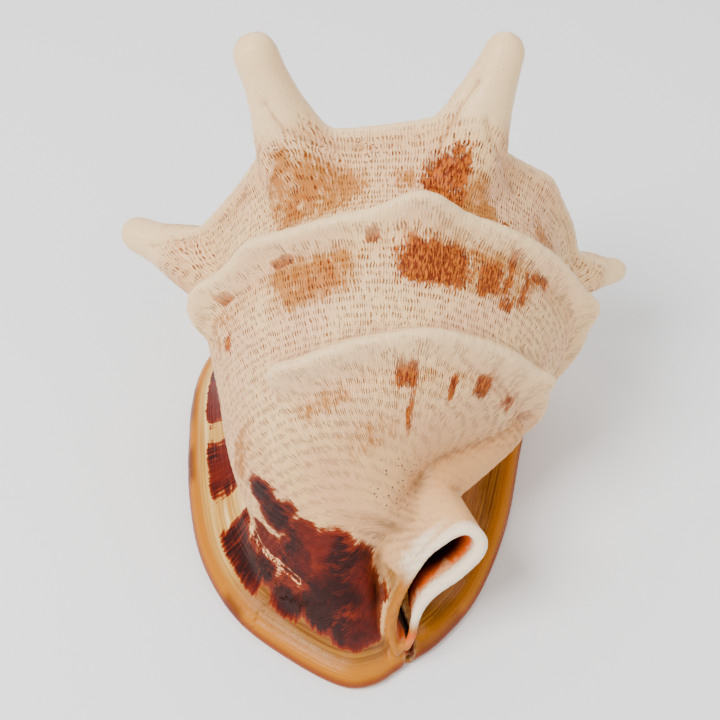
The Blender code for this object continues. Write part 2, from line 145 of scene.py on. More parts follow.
# Knobs, cords and webs.
# Three spiral rows stand on the body whorl: blunt knobs joined by a rounded cord. Webs carry the
# shoulder up to each horn. All of it is lime laid on from inside, so it swells without an edge.
knobs = (                           # row, degrees of turn, height, half widths in turn and length
    (shoulder, -46, 3.0, 7, 6), (shoulder, -140, 5, 10, 8), (shoulder, -185, 4, 10, 8),
    (shoulder, -225, 4, 9, 8),
    (middle_row, 62, 3.5, 7, 7), (middle_row, 40, 3.5, 7, 6), (middle_row, -3, 9, 8, 7.5),
    (middle_row, -73, 5, 7, 7), (middle_row, -125, 5, 9, 8),
    (lower_row, 43, 3.5, 6, 5.0), (lower_row, -8, 2, 12, 6), (lower_row, -66, 5.0, 5, 5.0),
)
cords = (                           # row, height, half width, degrees from and to
    (shoulder, 0.8, 4.0, -400, 100), (middle_row, 5.0, 4.0, -200, 76), (lower_row, 5.2, 3.6, -180, 50),
    ((50.0, 128.5), 0.9, 2.2, -90, 60),
)
webs = ((80, 10, 15, 9, 13), (33, 14, 10, 9, 14), (-15, 13, 13, 6, 14), (-92, 5, 9, 9, 8))
spire_knobs_before = -240           # degrees; behind this the spire carries its own small knobs
spire_knob_step = math.radians(40)
spire_knob_height, spire_knob_width = 4.5, 6
row_rises_over, row_fades_over = 12, 7          # degrees
front_foot, front_lean, front_top = 7.0, 0.5, 50.0
whorl_bottom = 1.5
lip_drawn_in = 0.11                 # share of the radius that is lost towards the lip
drawn_in_after, drawn_in_over, drawn_in_width = 60, 35, 25      # degrees, degrees, depth


def past(value, start, over):
    """Nought up to the start, then a soft rise to one over a stretch."""
    return smooth((value - start) / over)


def short_of(value, end, over):
    """One until a stretch before the end, then a soft fall to nought."""
    return smooth((end - value) / over)


def slimming(degrees, depth):
    """The share of its radius that the whorl keeps where it narrows towards the lip."""
    near_lip = past(degrees, drawn_in_after, drawn_in_over)
    return 1 - lip_drawn_in * near_lip * bump((depth - middle_row[1]) / drawn_in_width)


def along_row(degrees, start, end, fades_over=row_fades_over):
    """Nought before and after a row's cord, one along it."""
    return past(degrees, start, row_rises_over) * short_of(degrees, end, fades_over)


def relief(turn, depth):
    """How far the knobs, cords and webs lift the body whorl."""
    degrees = np.degrees(turn)
    lift = np.zeros_like(degrees)
    for row, at, height, half_turn, half_width in knobs:
        lift += height * bump((degrees - at) / half_turn) * bump((depth - row[1]) / half_width)
    for at, height, to_lip, from_lip, half_width in webs:
        away = np.abs(degrees - at) / np.where(degrees > at, to_lip, from_lip)
        lift += height * np.exp(-away ** 1.3) * bump((depth - shoulder[1]) / half_width)
    for row, height, half_width, start, end in cords:
        lift += height * along_row(degrees, start, end) * bump((depth - row[1]) / half_width)
    around = np.maximum(np.cos(2 * math.pi * turn / spire_knob_step), 0) ** 2
    on_spire = (degrees < spire_knobs_before) * spire_knob_height * around
    return lift + on_spire * bump((depth - shoulder[1]) / spire_knob_width)


def front(height):
    """The y behind which the whorl stays at this height, where the canal's mouth is."""
    return front_foot + front_lean * np.minimum(height, front_top)


def points_of(mesh):
    flat = np.empty(len(mesh.vertices) * 3, np.float32)
    mesh.vertices.foreach_get("co", flat)
    return flat.reshape(-1, 3).astype(float)


def set_points(mesh, points):
    mesh.vertices.foreach_set("co", points.astype(np.float32).ravel())
    mesh.update()


def values_of(mesh, name):
    flat = np.empty(len(mesh.vertices), np.float32)
    mesh.attributes[name].data.foreach_get("value", flat)
    return flat.astype(float)


axis, side, top = np.array(along), np.array(right), np.array(up)
points = points_of(whorls.data)
turn = values_of(whorls.data, "turned")
size = np.exp(growth * turn)
depth = -(points - np.array(apex)) @ axis / size
outward = np.cos(turn)[:, None] * top - np.sin(turn)[:, None] * side
radius = np.einsum("ij,ij->i", points - np.array(apex), outward) / size
swollen = (radius + relief(turn, depth)) * slimming(np.degrees(turn), depth) - radius
points += outward * (swollen * size * values_of(whorls.data, "outside"))[:, None]
points[:, 2] = np.maximum(points[:, 2], whorl_bottom)
points[:, 1] = np.maximum(points[:, 1], front(points[:, 2]))
set_points(whorls.data, points)


# Horns.
# Four long blunt fingers on the shoulder, each a fold of the lip that the animal closed and left
# behind. They start inside the whorl, leave it square to the axis and bend to their tips.
horns = {                           # degrees, the tip, radius at the foot, half way and at the tip
    "left": (82, (-94.0, 162.0, 74.0), 14.0, 8.4, 7.0),
    "upper_left": (32, (-35.5, 157.0, 164.0), 14.5, 8.8, 8.4),
    "upper_right": (-15.5, (55.0, 153.5, 163.5), 14.5, 9.0, 6.4),
    "right": (-92, (110.5, 154.0, 50.0), 10.5, 6.6, 5.0),
}
horn_root = (shoulder[0] - 24.0, shoulder[1] + 14.0)
horn_foot = (shoulder[0] + 2.0, shoulder[1] + 3.0)
horn_half_way = 0.55                # share of the way from the foot to the tip
horn_spread = 5                     # how much wider than its foot a horn is at its root


def finger(name, line, radii, steps=36, around=32):
    """A round tapering finger along a curve, blunt at its far end."""
    where = np.linspace(0, 1, steps + 1)
    centres = curve(line, where)
    ahead = curve(line, where + 0.5 / steps) - curve(line, where - 0.5 / steps)
    thick = curve([(r,) for r in radii], where)[:, 0]
    left = np.minimum(np.linalg.norm(centres - centres[-1], axis=1) / radii[-1], 1)
    thick *= np.maximum(np.sqrt(1 - (1 - left) ** 2), 0.02)
    frames = []
    for centre, direction, radius in zip(centres, ahead, thick):
        turn_to = Vector(direction).to_track_quat("Z", "Y").to_matrix().to_4x4()
        frames.append(Matrix.Translation(Vector(centre)) @ turn_to @ Matrix.Scale(radius, 4))
    bm = bmesh.new()
    bmesh.ops.create_circle(bm, segments=around, radius=1.0, cap_ends=True, matrix=frames[0])
    rim = list(bm.edges)
    for before, after in zip(frames, frames[1:]):
        rim, _ = grow_on(bm, rim, after @ before.inverted())
    bmesh.ops.holes_fill(bm, edges=rim, sides=0)
    return as_piece(name, bm)


fingers = []
for name, (degrees, tip, foot_radius, middle_radius, tip_radius) in horns.items():
    turn_here = math.radians(degrees)
    foot = on_whorl(turn_here, *horn_foot)
    line = [on_whorl(turn_here, *horn_root), foot, foot.lerp(Vector(tip), horn_half_way), Vector(tip)]
    radii = (foot_radius + horn_spread, foot_radius, middle_radius, tip_radius)
    fingers.append(finger("horn_" + name, line, radii))


def joined(name, pieces):
    """One piece that holds every mesh; the pieces are removed."""
    bm = bmesh.new()
    for piece in pieces:
        bm.from_mesh(piece.data)
        bpy.data.objects.remove(piece)
    mesh = bpy.data.meshes.new(name)
    bm.to_mesh(mesh)
    bm.free()
    piece = bpy.data.objects.new(name, mesh)
    bpy.context.scene.collection.objects.link(piece)
    return piece


def fused(piece, voxel, rounds):
    """Runs overlapping meshes into one skin and rounds the creases between them."""
    remesh = piece.modifiers.new("fuse", "REMESH")
    remesh.mode = "VOXEL"
    remesh.voxel_size = voxel
    soften = piece.modifiers.new("soften", "SMOOTH")
    soften.factor = 0.5
    soften.iterations = rounds
    return applied(piece)


def applied(piece):
    graph = bpy.context.evaluated_depsgraph_get()
    mesh = bpy.data.meshes.new_from_object(piece.evaluated_get(graph))
    piece.modifiers.clear()
    piece.data = mesh
    return piece


def skin_of(piece):
    """A search tree over the piece's faces."""
    mesh = piece.data
    corners = [list(face.vertices) for face in mesh.polygons]
    return BVHTree.FromPolygons([vert.co for vert in mesh.vertices], corners)


def soften_near(piece, centres, reach, rounds):
    """Smooths the skin round these places only, strongest at their middle."""
    points = points_of(piece.data)
    weight = np.zeros(len(points))
    for centre in centres:
        weight = np.maximum(weight, bump(np.linalg.norm(points - np.array(centre), axis=1) / reach))
    group = piece.vertex_groups.new(name="soften")
    for level in range(1, 11):
        chosen = np.nonzero(np.ceil(weight * 10) == level)[0]
        group.add([int(index) for index in chosen], level / 10, "REPLACE")
    smoother = piece.modifiers.new("soften", "SMOOTH")
    smoother.factor = 0.5
    smoother.iterations = rounds
    smoother.vertex_group = group.name
    applied(piece)
    piece.vertex_groups.clear()
    return piece


horn_voxel, foot_reach = 1.25, 15.0
horned = fused(joined("horned", [whorls] + fingers), horn_voxel, 2)
feet = [on_whorl(math.radians(facts[0]), *horn_foot) for facts in horns.values()]
horned = soften_near(horned, feet, foot_reach, 60)


# Lip plate.
# The aperture lies in a flat oval plate: the thick rolled outer lip on the left of the slit, the
# glossy shield on the right. A flange climbs behind the rim, and a hood rises to the neck in front.
plate_outline = (                   # x, y, climb of the flange, its width, height of the hood
    (9.5, 1.5, 2.0, 12.0, 8.0), (1.5, -3.5, 7.0, 12.0, 40.0), (-10.0, -4.0, 10.0, 14.0, 45.0),
    (-29.0, 7.0, 12.0, 17.0, 48.0), (-49.0, 24.0, 13.0, 21.0, 28.0), (-63.0, 48.0, 14.0, 25.0, 8.0),
    (-70.0, 75.0, 14.0, 25.0, 0.0), (-73.0, 107.0, 13.0, 22.0, 0.0), (-72.0, 140.0, 12.0, 18.0, 0.0),
    (-62.0, 163.0, 12.0, 16.0, 0.0), (-40.0, 175.0, 12.0, 16.0, 0.0), (-10.0, 179.0, 10.0, 16.0, 0.0),
    (20.0, 181.0, 8.0, 16.0, 0.0), (47.0, 174.0, 6.0, 20.0, 0.0), (65.0, 152.0, 5.0, 30.0, 0.0),
    (69.5, 120.0, 3.0, 30.0, 0.0), (63.5, 92.0, 3.0, 30.0, 0.0), (54.5, 59.0, 3.0, 30.0, 0.0),
    (41.0, 30.0, 3.0, 30.0, 0.0), (26.0, 12.5, 2.0, 26.0, 0.0), (16.0, 5.5, 2.0, 20.0, 0.0),
)
plate_centre = np.array((-2.0, 85.0))
rim_thick = 6.0
rim_roll = 3.5
bead_height, bead_place, bead_width = 0.9, 3.2, 2.2
dish = 1.6                          # how far the underside stands clear of the ground
dish_edge, dish_slope = 0.86, 0.2   # shares of the way from the plate's centre to its rim
below_ground = 1.0
flange_curve, hood_start = 1.7, 0.7             # power of the climb, share of the flange's width
hood_rise = 17.0                    # distance over which the hood gains most of its height
plate_rings, plate_around = 48, 260
ring_spacing = 0.55                 # below one, the rings crowd towards the rim
flat_ring = 1e-4                    # the ball's height below which a vertex is on its equator


def plate_top(inward, climb, width, hood):
    """Height of the plate's upper face at a distance in from its rim."""
    rolled = rim_thick * (0.5 + 0.5 * np.sqrt(np.minimum(inward / rim_roll, 1.0)))
    bead = bead_height * bump((inward - bead_place) / bead_width)
    swell = hood * (1 - np.exp(-np.maximum(inward - hood_start * width, 0.0) / hood_rise))
    return rolled + bead + climb * np.minimum(inward / width, 1.0) ** flange_curve + swell


def plate_bottom(share):
    return (dish + below_ground) * short_of(share, dish_edge, dish_slope) - below_ground


rim_facts = curve(plate_outline, np.linspace(0, 1, 720, endpoint=False), closed=True)
rim_reach = np.linalg.norm(rim_facts[:, :2] - plate_centre, axis=1)
rim_angle = np.arctan2(*(rim_facts[:, :2] - plate_centre).T[::-1])
rim_order = np.argsort(rim_angle)


def plate_place(points):
    """Angle round the plate's centre, distance in from its rim, and its facts there."""
    across = points[:, :2] - plate_centre
    angle = np.arctan2(across[:, 1], across[:, 0])
    found = [np.interp(angle, rim_angle[rim_order], values[rim_order], period=2 * math.pi)
             for values in (rim_reach, *rim_facts[:, 2:].T)]
    inward = found[0] - np.linalg.norm(across, axis=1)
    return angle, inward, found[0], found[1:]


plate = bmesh.new()
bmesh.ops.create_uvsphere(plate, u_segments=plate_around, v_segments=plate_rings, radius=1.0)
plate = as_piece("plate", plate)
ball = points_of(plate.data)
angle, _, reach, (climb, width, hood) = plate_place(ball + (*plate_centre, 0))
share = np.clip(np.arccos(np.clip(np.abs(ball[:, 2]), 0, 1)) / (math.pi / 2), 0, 1) ** ring_spacing
upper_face = plate_top((1 - share) * reach, climb, width, hood)
points = np.stack([
    plate_centre[0] + np.cos(angle) * reach * share,
    plate_centre[1] + np.sin(angle) * reach * share,
    np.where(ball[:, 2] > flat_ring, upper_face, plate_bottom(share)),
], axis=1)
equator = np.abs(ball[:, 2]) <= flat_ring
points[equator, 2] = rim_thick / 2
set_points(plate.data, points)


# Siphonal canal.
# A short spout at the front, bent up between the neck and the plate. Its left wall runs down to
# the notch, its right wall is a thick rounded lip, and an old canal has left a swelling beside it.
canal_rim = (
    (9.9, 2.8, 7.4), (6.5, 6.2, 13.6), (4.7, 9.2, 18.9), (5.7, 12.0, 24.2), (8.2, 14.3, 28.2),
    (12.5, 18.6, 36.0), (18.1, 22.6, 43.3), (23.2, 24.9, 47.5), (27.7, 27.0, 51.3),
    (33.1, 28.3, 53.8), (37.1, 27.9, 53.0), (40.5, 26.2, 50.0), (40.9, 24.4, 46.6),
    (39.2, 22.6, 43.3), (34.1, 19.3, 37.4), (28.6, 17.2, 33.5), (23.4, 15.4, 30.2),
    (19.3, 13.3, 26.5), (16.8, 10.9, 22.1), (14.9, 7.0, 15.1),
)
canal_inside = (
    (10.3, 5.2, 11.7), (9.7, 7.9, 16.7), (10.2, 11.0, 22.3), (12.4, 15.0, 29.5),
    (17.0, 19.6, 37.9), (22.2, 23.6, 45.2), (28.7, 26.1, 49.6), (33.1, 26.9, 51.2),
    (36.5, 26.1, 49.7), (37.2, 24.1, 46.1), (34.1, 21.7, 41.8), (27.6, 19.4, 37.6),
    (21.1, 17.3, 33.7), (17.6, 14.9, 29.3), (15.4, 11.5, 23.2), (13.9, 7.3, 15.5),
)
canal_root, canal_root_radius = Vector((14.0, 50.0, 33.0)), 21.0
bore_root, bore_root_radius = Vector((14.0, 42.0, 25.0)), 6.5
bore_ahead = Vector((0.8, -6.4, 4.8))
mouth_way = np.array(bore_ahead.normalized())
canal_inside_middle = np.array(canal_inside).mean(0)
canal_around, canal_rings = 96, 16
ear_line = (
    (62.0, 98.0, 52.0), (50.0, 81.0, 47.0), (38.0, 68.0, 45.0), (24.0, 57.0, 45.0), (14.0, 48.0, 45.0),
)
ear_radii = (12.0, 13.0, 12.0, 13.0, 11.0)
lip_radii = (1.3, 1.5, 1.5, 1.5, 2.0, 2.3, 2.3, 2.1, 1.8, 1.5)
lip_ends = (0.01, 0.975)
pillar_line = ((19.0, 38.0, 24.0), (17.0, 60.0, 27.0), (13.0, 80.0, 28.0), (7.0, 102.0, 26.0))
pillar_radii = (12.0, 14.0, 14.0, 12.0)


def bridged(name, bm, loops):
    """A closed piece from a row of loops that lie one after another."""
    bmesh.ops.holes_fill(bm, edges=loops[0], sides=0)
    bmesh.ops.holes_fill(bm, edges=loops[-1], sides=0)
    for first, second in zip(loops, loops[1:]):
        bmesh.ops.bridge_loops(bm, edges=first + second)
    return as_piece(name, bm)


def throat(name, mouth, root, radius, ahead=None):
    """A closed tube from a mouth of any outline to a circle round its root."""
    ring = curve(mouth, np.linspace(0, 1, canal_around, endpoint=False), closed=True)
    middle = ring.mean(0)
    way = (np.array(root) - middle) / np.linalg.norm(np.array(root) - middle)
    out = ring - middle
    out -= np.outer(out @ way, way)
    circle = np.array(root) + radius * out / np.linalg.norm(out, axis=1)[:, None]
    rings = [ring + t * (circle - ring) for t in np.linspace(0, 1, canal_rings)]
    if ahead is not None:
        rings.insert(0, ring + np.array(ahead))
    bm = bmesh.new()
    loops = []
    for places in rings:
        verts = bmesh.ops.create_circle(bm, segments=canal_around, radius=1.0)["verts"]
        for vert, place in zip(verts, places):
            vert.co = place
        loops.append(list({edge for vert in verts for edge in vert.link_edges}))
    return bridged(name, bm, loops)


canal = throat("canal", canal_rim, canal_root, canal_root_radius)
lip_places = np.linspace(*lip_ends, 40)
outer_lip, inner_lip = [curve(line, lip_places, closed=True) for line in (canal_rim, canal_inside)]
lip_line = (outer_lip + inner_lip) / 2
canal_lip = finger("canal_lip", lip_line, lip_radii, steps=160, around=16)
ear = finger("ear", ear_line, ear_radii)
pillar = finger("pillar", pillar_line, pillar_radii)


# Aperture and living space.
# The slit between lip and shield opens into the hollow that the animal lived in, four fifths of
# a turn long. It is bored out of the grown shell together with the canal.
slit_line = (                       # x, y and half width on the ground
    (10.2, -8.0, 1.0), (10.5, 2.0, 1.0), (10.2, 12.0, 1.1), (9.0, 24.0, 2.2), (4.0, 48.0, 6.5),
    (-4.0, 80.0, 7.0), (-12.0, 115.0, 6.5), (-18.0, 140.0, 5.0), (-21.0, 153.0, 2.5),
)
slit_bottom, slit_lean_top, slit_top, slit_steps = -6.0, 8.0, 20.0, 120
slit_lean = 0.3                     # how far the slit leans to the right for each millimetre up
slit_closes_over = 10               # steps over which the slit's far end is rounded
lean_before, lean_over = 26.0, 14.0             # y up to which the slit leans
wall = 6.0
hollow_start, hollow_end, hollow_steps = math.radians(-150), whorl_end, 110
hollow_opens_over = 0.6             # radians of turn
closed_wall, closed_share = 12.0, 0.25          # extra wall and the hollow's share at its inner end
hollow_middle = np.array((38.0, 90.0))
hollow_floor = 11.0
pillar_side = ((20.0, 131.0), (15.0, 124.0), (15.0, 100.0), (21.0, 66.0), (35.0, 48.0))

slit = bmesh.new()
along_slit = curve(slit_line, np.linspace(0, 1, slit_steps + 1))
steps_left = slit_steps - np.arange(slit_steps + 1) + 0.1
half = along_slit[:, 2] * np.sqrt(np.minimum(steps_left / slit_closes_over, 1.0))
edge = np.concatenate([
    np.stack([along_slit[:, 0] - half, along_slit[:, 1]], axis=1),
    np.stack([along_slit[:, 0] + half, along_slit[:, 1]], axis=1)[::-1],
])
base = bmesh.ops.create_circle(slit, segments=len(edge), radius=1.0, cap_ends=True)["verts"]
for vert, (x, y) in zip(base, edge):
    vert.co = (x, y, slit_bottom)
top_face = slit.faces[:]
for rise, lean in ((slit_lean_top - slit_bottom, slit_lean), (slit_top - slit_lean_top, 0.0)):
    grown = bmesh.ops.extrude_face_region(slit, geom=top_face)["geom"]
    raised = [part for part in grown if isinstance(part, bmesh.types.BMVert)]
    top_face = [part for part in grown if isinstance(part, bmesh.types.BMFace)]
    bmesh.ops.translate(slit, vec=(0, 0, rise), verts=raised)
    for vert in raised:
        vert.co.x += rise * lean * float(short_of(vert.co.y, lean_before, lean_over))
slit = as_piece("slit", slit)

bore = throat("bore", canal_inside, bore_root, bore_root_radius, ahead=bore_ahead)

hollow = bmesh.new()
loops = []
for turn_here in np.linspace(hollow_start, hollow_end, hollow_steps):
    opened = float(past(turn_here, hollow_start, hollow_opens_over))
    thick = wall + (1 - opened) * closed_wall
    share_open = closed_share + (1 - closed_share) * opened
    line = np.array(outline[2:15])
    ahead = line[2:] - line[:-2]
    ahead /= np.linalg.norm(ahead, axis=1)[:, None]
    inner = line[1:-1] + thick * np.stack([-ahead[:, 1], ahead[:, 0]], axis=1)
    loop = curve(np.concatenate([inner, pillar_side]), np.linspace(0, 1, 72, endpoint=False), closed=True)
    loop = hollow_middle + (loop - hollow_middle) * share_open
    slim = slimming(math.degrees(turn_here), loop[:, 1])
    verts = bmesh.ops.create_circle(hollow, segments=len(loop), radius=1.0)["verts"]
    for vert, (radius, depth), by in zip(verts, loop, slim):
        place = on_whorl(turn_here, radius * by, depth)
        place.z = max(place.z, hollow_floor)
        place.y = max(place.y, float(front(place.z)) + 1.5 * wall)
        vert.co = place
    loops.append(list({edge for vert in verts for edge in vert.link_edges}))
hollow = bridged("hollow", hollow, loops)

fine = 0.95
cavity_voxel = 0.9
ear_crease = (                      # places where the old canal's swelling meets the whorl
    (23.6, 50.0, 56.0), (28.5, 54.0, 57.3), (34.0, 57.5, 57.2), (39.5, 61.0, 56.5), (45.2, 64.1, 56.1),
    (50.0, 67.0, 56.0), (55.0, 71.0, 57.0),
)
neck_places = (                     # places where the hood meets the neck
    (5.0, 27.0, 36.0), (11.0, 33.0, 48.0), (3.0, 22.0, 28.0), (16.0, 40.0, 55.0), (-8.0, 24.0, 42.0),
    (-20.0, 29.0, 42.0), (-31.0, 38.0, 42.0),
)
skins = [skin_of(piece) for piece in (horned, plate, bore, hollow, canal_lip, canal)]
ear_skin, slit_skin = skin_of(ear), skin_of(slit)
shell = fused(joined("shell_surface", [horned, plate, canal, ear, pillar]), fine, 3)
shell = soften_near(shell, neck_places, 10.0, 60)
shell = soften_near(shell, ear_crease, 4.5, 20)
cavity = fused(joined("cavity", [hollow, bore, slit]), cavity_voxel, 2)
cutting = shell.modifiers.new("living space", "BOOLEAN")
cutting.operation = "DIFFERENCE"
cutting.solver = "MANIFOLD"
cutting.object = cavity
applied(shell)
bpy.data.objects.remove(cavity)
shell = fused(joined("shell_surface", [shell, canal_lip]), fine, 2)


# Relief of the surface.
# The lime was laid line by line at the lip, so the growth lines and fine cords follow the whorls.
# Folds run up to the horns, the rows stand out crisply, and blunt teeth line the slit below.
furrows = (                         # depth, half width and the places it runs through
    (2.2, 1.9, ((26, 128, 127), (30, 134, 134), (34, 138, 141), (38, 141, 146), (42, 143, 151))),
    (1.7, 1.7, ((-30, 142, 145), (-26, 138, 140), (-21, 136, 137), (-12, 136, 133), (2, 138, 129))),
    (1.4, 1.8, ((46, 133, 142), (50, 131, 131), (54, 134, 120), (58, 132, 112))),
    (1.4, 2.0, ((-81, 148, 76), (-65, 147, 82), (-49, 143, 95), (-42, 142, 105))),
    (0.8, 1.5, ((-25, 59, 89), (-32, 55, 75), (-35, 51, 66), (-31, 45, 60))),
    (0.9, 1.2, ((-45, 60, 18), (-38, 43, 23), (-29, 30, 28), (-24, 24, 29))),
)
ledge = furrows[-1][2]              # the lowest furrow has a white crest above it
row_lift, row_width, row_cut_off_over = 1.9, 2.3, 5
below_row, below_width, below_depth = 6.0, 3.0, 1.4     # the hollow that follows each row
rib_pitch, rib_height, cord_pitch, cord_height = 5.2, 0.1, 3.4, 0.07
seam_depth, seam_width, seam_reach, seam_behind = 1.1, 1.5, 2.5, 58
suture_depth, suture_width, suture_sunk = 23.0, 1.2, 1.0
suture_before, suture_within = 2.234, 60        # degrees of turn, distance from the axis
tooth_pitch, tooth_slant, tooth_height, tooth_reach = 6.2, 0.25, 1.6, 4.0
tooth_narrowing = 1.6               # above one, teeth are narrower than the gaps between them
teeth_from, teeth_to, teeth_fade, teeth_below = 22, 142, 12, 13         # y, y, length, height
slit_facts = np.array(slit_line)
lap = math.radians(128)             # where one turn of the whorls is told from the next
lip_size = 70                       # a middling distance of the body whorl's skin from the axis
triangles = 190000


def closeness(tree, points):
    """How far each point lies from a piece's skin."""
    return np.array([tree.find_nearest(place)[3] for place in points.tolist()])


def beside_slit(points):
    """Which side of the slit, how far from its edge, where teeth stand and how high each is."""
    across, along_it = points[:, 0], points[:, 1]
    middle = np.interp(along_it, slit_facts[:, 1], slit_facts[:, 0])
    half = np.interp(along_it, slit_facts[:, 1], slit_facts[:, 2])
    toothed = past(along_it, teeth_from, teeth_fade) * short_of(along_it, teeth_to, teeth_fade)
    phase = 2 * math.pi * (along_it + tooth_slant * across) / tooth_pitch
    tooth = (0.5 + 0.5 * np.cos(phase)) ** tooth_narrowing
    return np.sign(across - middle), np.abs(across - middle) - half, toothed, tooth


def on_growth(points):
    """Turn about the axis, depth and radius of each point, on the whorl it belongs to."""
    from_apex = points - np.array(apex)
    down = -from_apex @ axis
    turn = np.arctan2(-(from_apex @ side), from_apex @ top)
    turn = np.where(turn > lap, turn - 2 * math.pi, turn)
    for _ in range(4):
        turn = np.where(down / np.exp(growth * turn) < suture_depth, turn - 2 * math.pi, turn)
    size = np.exp(growth * turn)
    return turn, down / size, np.linalg.norm(from_apex + np.outer(down, axis), axis=1) / size


def normals_of(mesh):
    flat = np.empty(len(mesh.vertices) * 3, np.float32)
    mesh.vertex_normals.foreach_get("vector", flat)
    return flat.reshape(-1, 3).astype(float)


def hollowness(mesh, rounds):
    """How deep each vertex lies in a hollow of the surface, below nought on a ridge."""
    ends = np.empty(len(mesh.edges) * 2, np.int32)
    mesh.edges.foreach_get("vertices", ends)
    first, second = ends.reshape(-1, 2).T
    count = len(mesh.vertices)
    near = np.maximum(np.bincount(first, minlength=count) + np.bincount(second, minlength=count), 1)

    def mean(values):
        return (np.bincount(first, values[second], count) + np.bincount(second, values[first], count)) / near

    points = points_of(mesh)
    spread = points.copy()
    for _ in range(rounds):
        spread = np.stack([mean(column) for column in spread.T], axis=1)
    return np.einsum("ij,ij->i", spread - points, normals_of(mesh))


def away_from(points, line):
    """Distance of each point from a line through a few places."""
    places = curve(line, np.linspace(0, 1, 40))
    nearest = np.full(len(points), 1e9)
    for place in places:
        nearest = np.minimum(nearest, np.linalg.norm(points - place, axis=1))
    return nearest


points = points_of(shell.data)
normals = normals_of(shell.data)
turn, depth, radius = on_growth(points)
degrees = np.degrees(turn)
size = np.exp(growth * turn)
to_horned, to_plate, to_bore, to_hollow, to_lip, to_canal = [closeness(skin, points) for skin in skins]
angle, inward, _, _ = plate_place(points)
below = short_of(points[:, 2], 3.0, 2.0) * smooth(-normals[:, 2] * 2)
outside = 1 - short_of(np.minimum(to_bore, to_hollow), 1.6, 0.8)
on_plate = smooth((to_horned - to_plate) / 1.5 + 0.5) * past(to_lip, 0.5, 1.0)
bare = outside * (1 - on_plate) * (1 - below) * past(np.minimum(to_lip, to_canal), 1.0, 2.0)
run = (radius > 40) * bare
along_growth = lip_size * (size - 1) / growth
along_axis = depth * size
ribs = np.sin(2 * math.pi * (along_growth + 1.3 * np.sin(along_growth / 7.0)) / rib_pitch)
fine_cords = np.sin(2 * math.pi * along_axis / cord_pitch)
lift = bare * (rib_height * ribs + cord_height * fine_cords)
for row, _, _, start, end in cords[1:3]:
    there = run * along_row(degrees, start, end, row_cut_off_over)
    lift += there * row_lift * bump((depth - row[1]) / row_width)
    lift -= there * below_depth * bump((depth - row[1] - below_row) / below_width)
for deep, wide, line in furrows:
    lift -= deep * outside * bump(away_from(points, line) / wide)
seam = bump((to_horned - to_plate) / seam_width) * bump(np.minimum(to_horned, to_plate) / seam_reach)
lift -= seam_depth * seam * outside * (1 - below) * past(points[:, 1], seam_behind, 12)
sutured = bare * (degrees < suture_before) * (radius < suture_within)
lift -= suture_sunk * sutured * bump((depth - suture_depth) / suture_width)
points += normals * lift[:, None]

side_of_slit, from_edge, toothed, tooth = beside_slit(points)
toothed *= bump(from_edge / tooth_reach) * short_of(points[:, 2], teeth_below, 6)
points[:, 0] -= side_of_slit * toothed * tooth_height * (tooth - 0.2)
points[:, 2] -= toothed * 0.9 * (tooth - 0.3) * (from_edge > 0)
points[:, 2] = np.maximum(points[:, 2], 0.0)
set_points(shell.data, points)

thin = shell.modifiers.new("thin out", "DECIMATE")
thin.ratio = min(1.0, triangles / (2 * len(shell.data.polygons)))
applied(shell)


# Stains and painted shade of the surface.
# The colour went in with the lime: gold and rust patches between the rows, dark bars across the
# lip's flange and a blotch beside the canal. Rows and horns are worn to ivory. Shade is painted in
# too: a shadow in the band below each row, darker hollows, and a mouth that darkens further in.
stains = {                          # kind: degrees, depth, half widths in both, strength
    "gold": (
        (28, 60, 18, 11, 0.84), (2, 58, 4, 5, 0.8), (-16, 66, 10, 10, 0.85), (-23, 67, 5, 5, 0.95),
        (28, 94, 15, 8.5, 0.9), (-22, 94, 30, 10, 0.76), (33, 127, 15, 3.5, 0.66), (62, 92, 10, 8, 0.55),
        (20, 136.5, 18, 3, 0.6), (82, 120, 16, 4, 0.75), (-50, 62, 10, 8, 0.7), (-12, 128, 26, 5, 0.55),
        (90, 62, 9, 9, 0.85), (104, 96, 8, 7, 0.8), (90, 30, 8, 5, 0.8), (-30, 32, 10, 4, 0.75),
        (-110, 32, 10, 5, 0.8), (-300, 32, 12, 4, 0.8), (-430, 32, 14, 4, 0.8), (-120, 95, 18, 6, 0.75),
        (-85, 128, 12, 4, 0.6), (-200, 60, 14, 8, 0.6), (-165, 70, 20, 8, 0.5),
    ),
    "rust": (
        (-9, 61, 7.5, 11, 0.9), (28, 95, 10, 6, 0.55), (34, 60, 9, 7, 0.48), (-31, 74, 2.2, 9, 0.8),
        (-8.5, 95, 12.5, 7.5, 1.0), (-26, 96, 5, 6.5, 0.9), (-33, 92, 2, 9, 0.75),
        (-34.5, 102, 3.5, 3, 0.85), (35.5, 86.5, 3.6, 1.3, 0.9),
        (-1, 126, 6, 4, 0.85), (-3, 134, 2.5, 5, 0.8), (-22, 129, 2.4, 4, 0.8), (-38, 127, 6, 4, 0.85),
        (-60, 128, 7, 3.5, 0.75), (10, 86, 2.2, 1.5, 1.0), (56, 86, 2.8, 1.5, 0.8),
        (62, 96, 2.6, 2.6, 0.75), (-45, 88, 6, 2.2, 0.8), (-40, 92, 2, 9, 0.75),
        (94, 62, 5, 7, 0.7), (108, 70, 5, 8, 0.85), (86, 98, 4, 5, 0.75), (-75, 60, 6, 8, 0.8),
        (-100, 95, 10, 6, 0.85), (-130, 62, 7, 9, 0.75), (-150, 98, 9, 6, 0.8),
        (60, 31, 7, 5, 0.85), (8, 32, 6, 5, 0.8), (-70, 31, 7, 5, 0.85), (-160, 31, 8, 5, 0.85),
        (-250, 31, 9, 5, 0.85), (-330, 31, 8, 5, 0.85), (-390, 31, 10, 5, 0.85), (-480, 31, 12, 5, 0.85),
        (-600, 31, 16, 5, 0.85), (-170, 128, 6, 6, 0.7), (-230, 75, 8, 10, 0.75),
        (-280, 60, 14, 12, 0.7), (-420, 50, 16, 14, 0.7),
    ),
}
